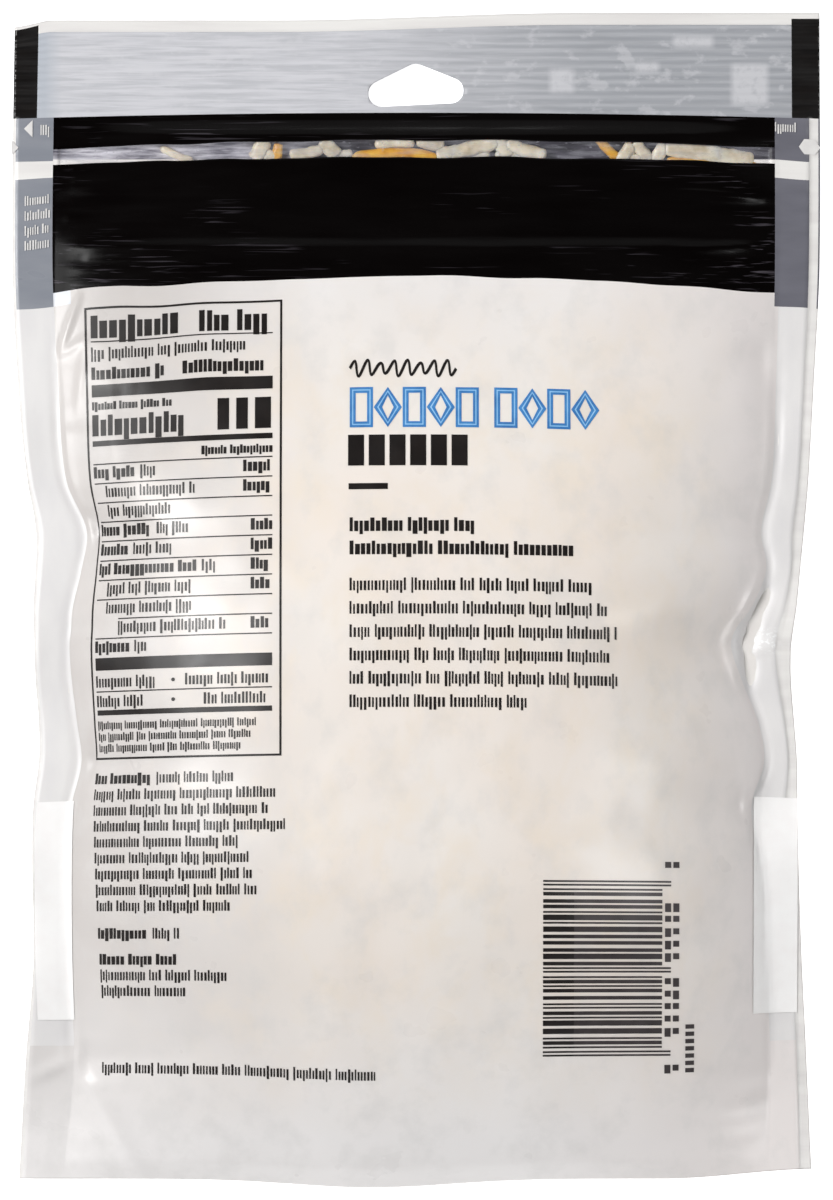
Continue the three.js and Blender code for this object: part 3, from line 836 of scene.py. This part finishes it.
ORANGE_SHREDS = (
    (-25.2, 24.7, 3.2, 78, 0.020, 1.9, 0.3),
    (-3.8, 25.4, 16.4, 1, -0.009, 2.3, 0.2),
    (34.8, 24.2, 6.0, -44, 0.010, 1.8, 0.5),
    (50.0, 26.1, 9.0, -3, 0.000, 1.0, 0.4),
    (60.6, 26.1, 5.0, -8, 0.000, 1.0, 0.6),
)
SHRED_SIDES, SHRED_RINGS = 10, 18
SHRED_TUCK = 0.35


def add_shred(bm, x, row, length, turn, bend, width, depth):
    """One strip of cheese: squarish, bent, tapered at its ends and torn along its sides."""
    made = bmesh.ops.create_uvsphere(bm, u_segments=SHRED_SIDES, v_segments=SHRED_RINGS, radius=1)
    angle = math.radians(turn)
    for vert in made["verts"]:
        along = math.acos(max(-1.0, min(1.0, vert.co.z))) / math.pi - 0.5
        around = Vector(vert.co.xy).normalized()
        side, up = around
        square = 1 / max(abs(side), abs(up), 0.7)
        taper = max(0.0, 1 - abs(2 * along) ** 8) ** 0.5
        swell = lerp(1, square, 0.55) * taper
        rough = noise.noise(Vector((along * length / 1.2 + x, side * 1.4, up * 1.4 + row)))
        side *= swell * width / 2 * (1 + 0.34 * rough)
        up *= swell * SHRED_HEIGHT / 2 * (1 + 0.25 * rough)
        run = along * length
        side += bend * run * run
        at_x = x + run * math.cos(angle) - side * math.sin(angle)
        at_row = row - (run * math.sin(angle) + side * math.cos(angle))
        at_row = min(WINDOW_BOTTOM + SHRED_TUCK, max(WINDOW_TOP - SHRED_TUCK, at_row))
        at_down = row_down(at_x, at_row)
        room = film_height(at_x, at_down) - front_height(at_x, at_down) - 3 * PLY
        squeeze = min(1.0, room / (SHRED_HEIGHT + depth))
        top = film_height(at_x, at_down) - PLY - depth * squeeze
        vert.co = place(at_x, at_down, top - (SHRED_HEIGHT / 2 - up) * squeeze)


def grated_cheese(name, shreds, material):
    bm = bmesh.new()
    for shred in shreds:
        add_shred(bm, *shred)
    bmesh.ops.recalc_face_normals(bm, faces=bm.faces)
    piece = finish_piece(name, bm, material)
    rounding = piece.modifiers.new("rounding", "SUBSURF")
    rounding.levels = rounding.render_levels = 1
    return piece


# ---- the print: plain shapes drawn flat in x and row, then laid on the film
DICE = 1.0


class Print:
    """One ink: shapes are added flat, diced so that they can follow the film, and laid on it."""

    def __init__(self):
        self.bm = bmesh.new()

    def bar(self, left, right, top, bottom):
        size = Vector(((right - left), (bottom - top), 1))
        middle = Vector(((left + right) / 2, -(top + bottom) / 2, 0))
        matrix = Matrix.Translation(middle) @ Matrix.Diagonal(size).to_4x4()
        bmesh.ops.create_grid(self.bm, x_segments=1, y_segments=1, size=0.5, matrix=matrix)

    def frame(self, left, right, top, bottom, line):
        self.bar(left, right, top, top + line)
        self.bar(left, right, bottom - line, bottom)
        self.bar(left, left + line, top + line, bottom - line)
        self.bar(right - line, right, top + line, bottom - line)

    def polygon(self, sides, x, row, width, height, turn=0.0):
        """A filled regular shape stretched to this width and height."""
        turned = Matrix.Diagonal((width, height, 1, 1)) @ Matrix.Rotation(turn, 4, "Z")
        matrix = Matrix.Translation((x, -row, 0)) @ turned
        made = bmesh.ops.create_circle(self.bm, cap_ends=True, segments=sides, radius=0.5, matrix=matrix)
        return made["verts"][0].link_faces[0]

    def ring(self, sides, x, row, width, height, inset, line, turn=0.0):
        """The outline of such a shape, this far inside it and this wide."""
        face = self.polygon(sides, x, row, width, height, turn)
        if inset:
            outside = bmesh.ops.inset_region(self.bm, faces=[face], thickness=inset, use_boundary=True)
            bmesh.ops.delete(self.bm, geom=outside["faces"], context="FACES")
        bmesh.ops.inset_region(self.bm, faces=[face], thickness=line, use_boundary=True)
        bmesh.ops.delete(self.bm, geom=[face], context="FACES")

    def wave(self, left, right, row, height, waves, line):
        """A ribbon that swings up and down."""
        steps = waves * 14
        made = bmesh.ops.create_grid(self.bm, x_segments=steps, y_segments=1, size=0.5)
        for vert in made["verts"]:
            share = vert.co.x + 0.5
            swing = math.sin(2 * math.pi * waves * share)
            lean = math.cos(2 * math.pi * waves * share)
            tall = 0.5 + 0.5 * abs(math.sin(math.pi * waves * share / 3 + 0.6))
            normal = Vector((-lean, 1)).normalized() * vert.co.y * line
            vert.co.x = lerp(left, right, share) + normal.x + 0.25 * swing
            vert.co.y = -row + swing * height / 2 * tall + normal.y

    def marks(self, left, right, base, tall, bold=False):
        """One line of print: groups of plain upright marks of uneven height."""
        x = left
        mark, gap = (0.29 * tall, 0.1 * tall) if bold else (0.165 * tall, 0.13 * tall)
        while x < right - mark:
            for k in range(2 * draws.randint(2, 8)):
                wide = mark * draws.uniform(0.75, 1.25)
                if x + wide > right:
                    break
                high = tall * (1 if k == 0 else draws.choice((0.76, 0.76, 0.8, 0.98, 0.76)))
                low = tall * draws.choice((0, 0, 0, 0, 0, 0.22))
                self.bar(x, x + wide, base - high, base + low)
                x += wide + gap * draws.uniform(0.8, 1.2)
            x += 0.3 * tall

    def lay(self, name, material, lift=INK_LIFT):
        bm = self.bm
        low_x, high_x = min(v.co.x for v in bm.verts), max(v.co.x for v in bm.verts)
        low_y, high_y = min(v.co.y for v in bm.verts), max(v.co.y for v in bm.verts)
        for low, high, normal in ((low_x, high_x, Vector((1, 0, 0))), (low_y, high_y, Vector((0, 1, 0)))):
            for k in range(math.ceil(low / DICE), math.floor(high / DICE) + 1):
                parts = bm.verts[:] + bm.edges[:] + bm.faces[:]
                bmesh.ops.bisect_plane(bm, geom=parts, dist=1e-4, plane_co=normal * k * DICE, plane_no=normal)
        for vert in bm.verts:
            x, row = vert.co.x, -vert.co.y
            x += drift(x, row_down(x, row))
            down = row_down(x, row)
            vert.co = place(x, down, film_height(x, down) + lift)
        bmesh.ops.recalc_face_normals(bm, faces=bm.faces)
        up = sum(face.normal.z * face.calc_area() for face in bm.faces)
        if up < 0:
            bmesh.ops.reverse_faces(bm, faces=bm.faces)
        return finish_piece(name, bm, material)


draws = random.Random(9)

# the table's frame, and its rules, bars and rows of print
TABLE_LEFT, TABLE_RIGHT, TABLE_TOP, TABLE_BOTTOM = -60.2, -24.3, 51.5, 134.5
TABLE_LINE, RULE = 0.38, 0.22
TEXT_LEFT, TEXT_RIGHT = -59.1, -26.0
INDENT, DEEP_INDENT = -56.9, -54.4
FIRST_RULE, RULE_PITCH = 80.1, 3.56
SHARE_LEFT, WIDE_SHARE_LEFT = -29.9, -31.3
# each row's label: start, end, bold, then the end of a lighter value after it, and its share column
TABLE_ROWS = (
    (TEXT_LEFT, -50.8, True, -47.3, WIDE_SHARE_LEFT),
    (INDENT, -40.0, False, None, WIDE_SHARE_LEFT),
    (INDENT, -44.4, False, None, None),
    (TEXT_LEFT, -47.9, True, -41.0, SHARE_LEFT),
    (TEXT_LEFT, -52.4, True, -44.2, SHARE_LEFT),
    (TEXT_LEFT, -39.5, True, -36.0, SHARE_LEFT),
    (INDENT, -40.4, False, None, SHARE_LEFT),
    (INDENT, -40.4, False, None, None),
    (DEEP_INDENT, -34.4, False, None, SHARE_LEFT),
    (TEXT_LEFT, -51.9, True, -48.8, None),
)
ROW_TALL = 2.1


def table_print(ink):
    ink.frame(TABLE_LEFT, TABLE_RIGHT, TABLE_TOP, TABLE_BOTTOM, TABLE_LINE)
    ink.marks(TEXT_LEFT, -41.2, 57.0, 4.0, bold=True)
    ink.marks(-39.4, TEXT_RIGHT, 57.0, 4.0, bold=True)
    ink.bar(TEXT_LEFT, TEXT_RIGHT, 57.5, 57.5 + RULE)
    ink.marks(TEXT_LEFT, -31.0, 60.7, 2.1)
    ink.marks(TEXT_LEFT, -45.0, 64.5, 2.3, bold=True)
    ink.marks(-42.4, -26.3, 64.5, 2.3, bold=True)
    ink.bar(TEXT_LEFT, TEXT_RIGHT, 65.5, 67.8)
    ink.marks(TEXT_LEFT, -44.2, 70.2, 1.5, bold=True)
    ink.marks(TEXT_LEFT, -42.0, 75.0, 3.9, bold=True)
    for left, right in ((-36.0, -33.9), (-32.6, -30.5), (-29.2, -26.3)):
        ink.bar(left, right, 69.3, 75.0)
    ink.bar(TEXT_LEFT, TEXT_RIGHT, 75.9, 76.9)
    ink.marks(-38.9, TEXT_RIGHT, 79.4, 1.6, bold=True)
    for k, (left, right, bold, value_end, share_left) in enumerate(TABLE_ROWS):
        rule = FIRST_RULE + k * RULE_PITCH
        ink.bar(DEEP_INDENT if left == DEEP_INDENT else TEXT_LEFT, TEXT_RIGHT, rule, rule + RULE)
        base = rule + RULE_PITCH - 0.9
        ink.marks(left, right, base, ROW_TALL, bold)
        if value_end:
            ink.marks(right + 0.7, value_end, base, ROW_TALL)
        if share_left:
            ink.marks(share_left, TEXT_RIGHT, base, ROW_TALL, bold=True)
    ink.bar(TEXT_LEFT, TEXT_RIGHT, 115.8, 118.1)
    ink.marks(TEXT_LEFT, -46.9, 121.2, ROW_TALL)
    ink.marks(-41.8, -26.6, 121.2, ROW_TALL)
    ink.bar(TEXT_LEFT, TEXT_RIGHT, 121.9, 121.9 + RULE)
    ink.marks(TEXT_LEFT, -48.6, 124.8, ROW_TALL)
    ink.marks(-38.4, -26.6, 124.8, ROW_TALL)
    for row in (120.2, 123.8):
        ink.polygon(12, -44.0, row, 0.7, 0.7)
    ink.bar(TEXT_LEFT, TEXT_RIGHT, 125.4, 126.35)
    for k, right in enumerate((-28.6, -29.5, -31.0)):
        ink.marks(TEXT_LEFT, right, 128.9 + 2.1 * k, 1.5)


# the lines under the table: base row, right end, first bold stretch's end
LIST_LINES = ((139.0, -32.8, -47.8), (141.95, -24.4, None), (144.9, -26.4, None), (147.85, -23.3, None),
              (150.8, -31.9, None), (153.75, -30.0, None), (156.7, -29.3, None), (159.65, -28.8, None),
              (162.6, -33.3, None), (167.7, -42.8, -48.5), (172.5, -42.8, -42.8), (175.4, -33.9, None),
              (178.3, -41.3, None))
LIST_TOP_LEFT, LIST_LEAN = -59.9, 0.052


def list_print(ink):
    for base, right, bold_end in LIST_LINES:
        left = LIST_TOP_LEFT + LIST_LEAN * (base - LIST_LINES[0][0])
        if bold_end:
            ink.marks(left, bold_end, base, 2.0, bold=True)
            left = bold_end + 0.7
        if left < right - 1:
            ink.marks(left, right, base, 2.0)
    ink.marks(-58.0, -7.1, 192.6, 2.0)


# the heading and the lines to the right of the table
HEAD_LEFT = -12.0
BODY_LINE_ENDS = (32.0, 34.8, 36.8, 35.7, 37.5, 20.6)
BODY_FIRST, BODY_PITCH = 104.8, 4.22


def heading_print(ink):
    ink.wave(HEAD_LEFT, 7.3, 64.5, 3.0, 8, 0.55)
    for k in range(6):
        left = HEAD_LEFT - 0.3 + k * 3.75
        ink.bar(left, left + 2.9, 76.6, 82.2)
    ink.bar(HEAD_LEFT - 0.2, -5.1, 85.4, 86.5)
    ink.marks(HEAD_LEFT, 11.3, 94.1, 2.5, bold=True)
    ink.marks(HEAD_LEFT, 28.8, 98.3, 2.5, bold=True)
    for k, right in enumerate(BODY_LINE_ENDS):
        ink.marks(HEAD_LEFT, right, BODY_FIRST + k * BODY_PITCH, 2.3)


TILE_WIDTH, TILE_HEIGHT, TILE_ROW, TILE_PITCH, TILE_LINE = 4.2, 7.3, 71.6, 4.8, 1.5
TILE_COUNTS, TILE_GAP = (5, 4), 2.2
INLINE = 0.3


def tile_print(ink, inset, line):
    """A row of outlined boxes and diamonds in two groups."""
    x = HEAD_LEFT + TILE_WIDTH / 2
    for count in TILE_COUNTS:
        for k in range(count):
            if k % 2 == 0:
                size = (TILE_WIDTH * math.sqrt(2), TILE_HEIGHT * math.sqrt(2))
                ink.ring(4, x, TILE_ROW, *size, inset, line, math.pi / 4)
            else:
                ink.ring(4, x, TILE_ROW, TILE_WIDTH + 0.9, TILE_HEIGHT, inset, line)
            x += TILE_PITCH
        x += TILE_GAP


CODE_LEFT, CODE_DARK, CODE_RIGHT, CODE_GUARD = 23.0, 28.6, 44.6, 46.2
CODE_TOP, CODE_BOTTOM = 157.1, 189.4


def bar_code(ink, grey):
    """Stripes of uneven width, one below another, and small marks beside them."""
    row = CODE_TOP
    count = 0
    while row < CODE_BOTTOM - 0.3:
        thick = draws.choice((0.33, 0.33, 0.66, 0.99, 0.66))
        guard = count < 2 or row > CODE_BOTTOM - 1.7 or 15.2 < row - CODE_TOP < 17
        right = CODE_GUARD if guard else CODE_RIGHT
        thick = 0.33 if guard else thick
        ink.bar(CODE_LEFT, CODE_DARK, row, min(row + thick, CODE_BOTTOM))
        grey.bar(CODE_DARK, right, row, min(row + thick, CODE_BOTTOM))
        row += thick + draws.choice((0.33, 0.33, 0.66, 0.5))
        count += 1
    for first, count in ((153.6, 1), (161.2, 5), (175.0, 5), (191.0, 1)):
        for k in range(count):
            top = first + 2.3 * k
            for left in (45.1, 46.6):
                grey.bar(left, left + 1.1, top, top + draws.choice((1.1, 1.6)))
    for k in range(7):
        grey.bar(48.9, 50.5, 183.6 + 1.35 * k, 184.4 + 1.35 * k)


def white_marks(ink):
    """The front's light marks that show in the margins."""
    ink.polygon(3, -70.17, 19.55, 2.1, 3.2, math.pi / 2)
    ink.polygon(3, -73.05, 22.6, 1.7, 3.0, -math.pi / 2)
    ink.polygon(6, 71.7, 22.55, 3.9, 2.9, math.pi / 2)
    ink.marks(-68.2, -66.3, 20.6, 1.6)
    ink.marks(65.4, 69.2, 20.2, 1.6)
    for k in range(4):
        ink.marks(-71.0, -66.3, 32.7 + 2.45 * k, 1.6)


def label_places(ink):
    ink.bar(-70.2, -63.5, 142.0, 182.8)
    ink.bar(61.3, 69.3, 141.2, 182.2)


def flat_ink(name, colour, lighter, rough=(0.32, 0.42)):
    return mottled(name, colour, lighter, 3.0, (1, 1, 1), rough, 0.004)


def printed_pieces():
    dark, grey, blue, pale, white, label = (Print() for k in range(6))
    table_print(dark)
    list_print(dark)
    heading_print(dark)
    bar_code(dark, grey)
    tile_print(blue, 0.0, TILE_LINE)
    tile_print(pale, (TILE_LINE - INLINE) / 2, INLINE)
    white_marks(white)
    label_places(label)
    return [
        dark.lay("dark_print", flat_ink("dark_ink", (20, 15, 14), (28, 22, 20))),
        grey.lay("grey_print", flat_ink("grey_ink", (52, 46, 47), (64, 58, 59))),
        blue.lay("blue_print", flat_ink("blue_ink", (52, 118, 184), (68, 138, 204))),
        pale.lay("pale_blue_print", flat_ink("pale_blue_ink", (140, 190, 232), (156, 204, 242)), INK_LIFT + 0.03),
        white.lay("white_print", flat_ink("white_ink", (222, 220, 219), (232, 230, 228)), MARK_LIFT),
        label.lay("label_places", flat_ink("bare_white", (250, 248, 247), (253, 252, 251)), MARK_LIFT),
    ]


# ---- the stage
def area_light(name, location, width, watts, colour=(1, 1, 1)):
    light = bpy.data.lights.new(name, "AREA")
    light.shape = "DISK"
    light.size = width
    light.energy = watts
    light.color = colour
    lamp = bpy.data.objects.new(name, light)
    lamp.location = location
    lamp.rotation_euler = (Vector((0, 0, 0)) - Vector(location)).to_track_quat("-Z", "Y").to_euler()
    bpy.context.scene.collection.objects.link(lamp)


ROOM_LIGHT = 0.26


def stage():
    world = bpy.data.worlds.new("soft_room")
    world.use_nodes = True
    nodes, links = world.node_tree.nodes, world.node_tree.links
    direction = nodes.new("ShaderNodeTexCoord").outputs["Generated"]
    parts = nodes.new("ShaderNodeSeparateXYZ")
    overhead = nodes.new("ShaderNodeMapRange")
    for name, value in zip(("From Min", "From Max", "To Min", "To Max"), (0.52, 0.68, ROOM_LIGHT, 0.02)):
        overhead.inputs[name].default_value = value
    links.new(direction, parts.inputs[0])
    links.new(parts.outputs[2], overhead.inputs["Value"])
    links.new(overhead.outputs[0], nodes["Background"].inputs["Strength"])
    nodes["Background"].inputs["Color"].default_value = (1, 1, 1, 1)
    bpy.context.scene.world = world
    area_light("key", (-1.08, 0.42, 1.14), 0.8, 25)
    area_light("fill", (1.02, -0.42, 1.3), 0.8, 10)
    bm = bmesh.new()
    bmesh.ops.create_grid(bm, x_segments=1, y_segments=1, size=3.0)
    bmesh.ops.translate(bm, verts=bm.verts, vec=(0, 0, -0.0002))
    floor_finish = Finish("pale_floor", Roughness=0.7, Emission_Color=(1, 1, 1, 1), Emission_Strength=0.85)
    tone = floor_finish.noise(400)
    floor_finish.colour(floor_finish.ramp(tone, (0.3, (0.9, 0.9, 0.9, 1)), (0.7, (0.92, 0.92, 0.92, 1))))
    floor = finish_piece("floor", bm, floor_finish.material)
    bpy.context.scene.view_settings.view_transform = "Standard"


CAMERA_HEIGHT = 4.0
PHOTO_HEIGHT_MM = 218.4
SENSOR = 36.0


def camera():
    data = bpy.data.cameras.new("camera")
    data.sensor_width = SENSOR
    data.lens = SENSOR * CAMERA_HEIGHT / (PHOTO_HEIGHT_MM * MM)
    data.clip_end = 20
    view = bpy.data.objects.new("camera", data)
    view.location = (0.0001, 0, CAMERA_HEIGHT + 0.005)
    bpy.context.scene.collection.objects.link(view)
    bpy.context.scene.camera = view


camera()
stage()
pouch = film_pouch()
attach(pouch, "root")
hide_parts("pouch")
window = window_film()
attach(window, "root")
ivory_finish = cheese("ivory_cheese", (190, 177, 152), (214, 203, 183), (228, 220, 205), 0.36)
orange_finish = cheese("orange_cheese", (196, 134, 28), (216, 156, 38), (230, 178, 62), 0.34)
for name, shreds, finish in (("ivory_shreds", IVORY_SHREDS, ivory_finish),
                             ("orange_shreds", ORANGE_SHREDS, orange_finish)):
    heap = grated_cheese(name, shreds, finish)
    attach(heap, "root")
    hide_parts("cheese_shreds")
for piece in printed_pieces():
    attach(piece, "root")
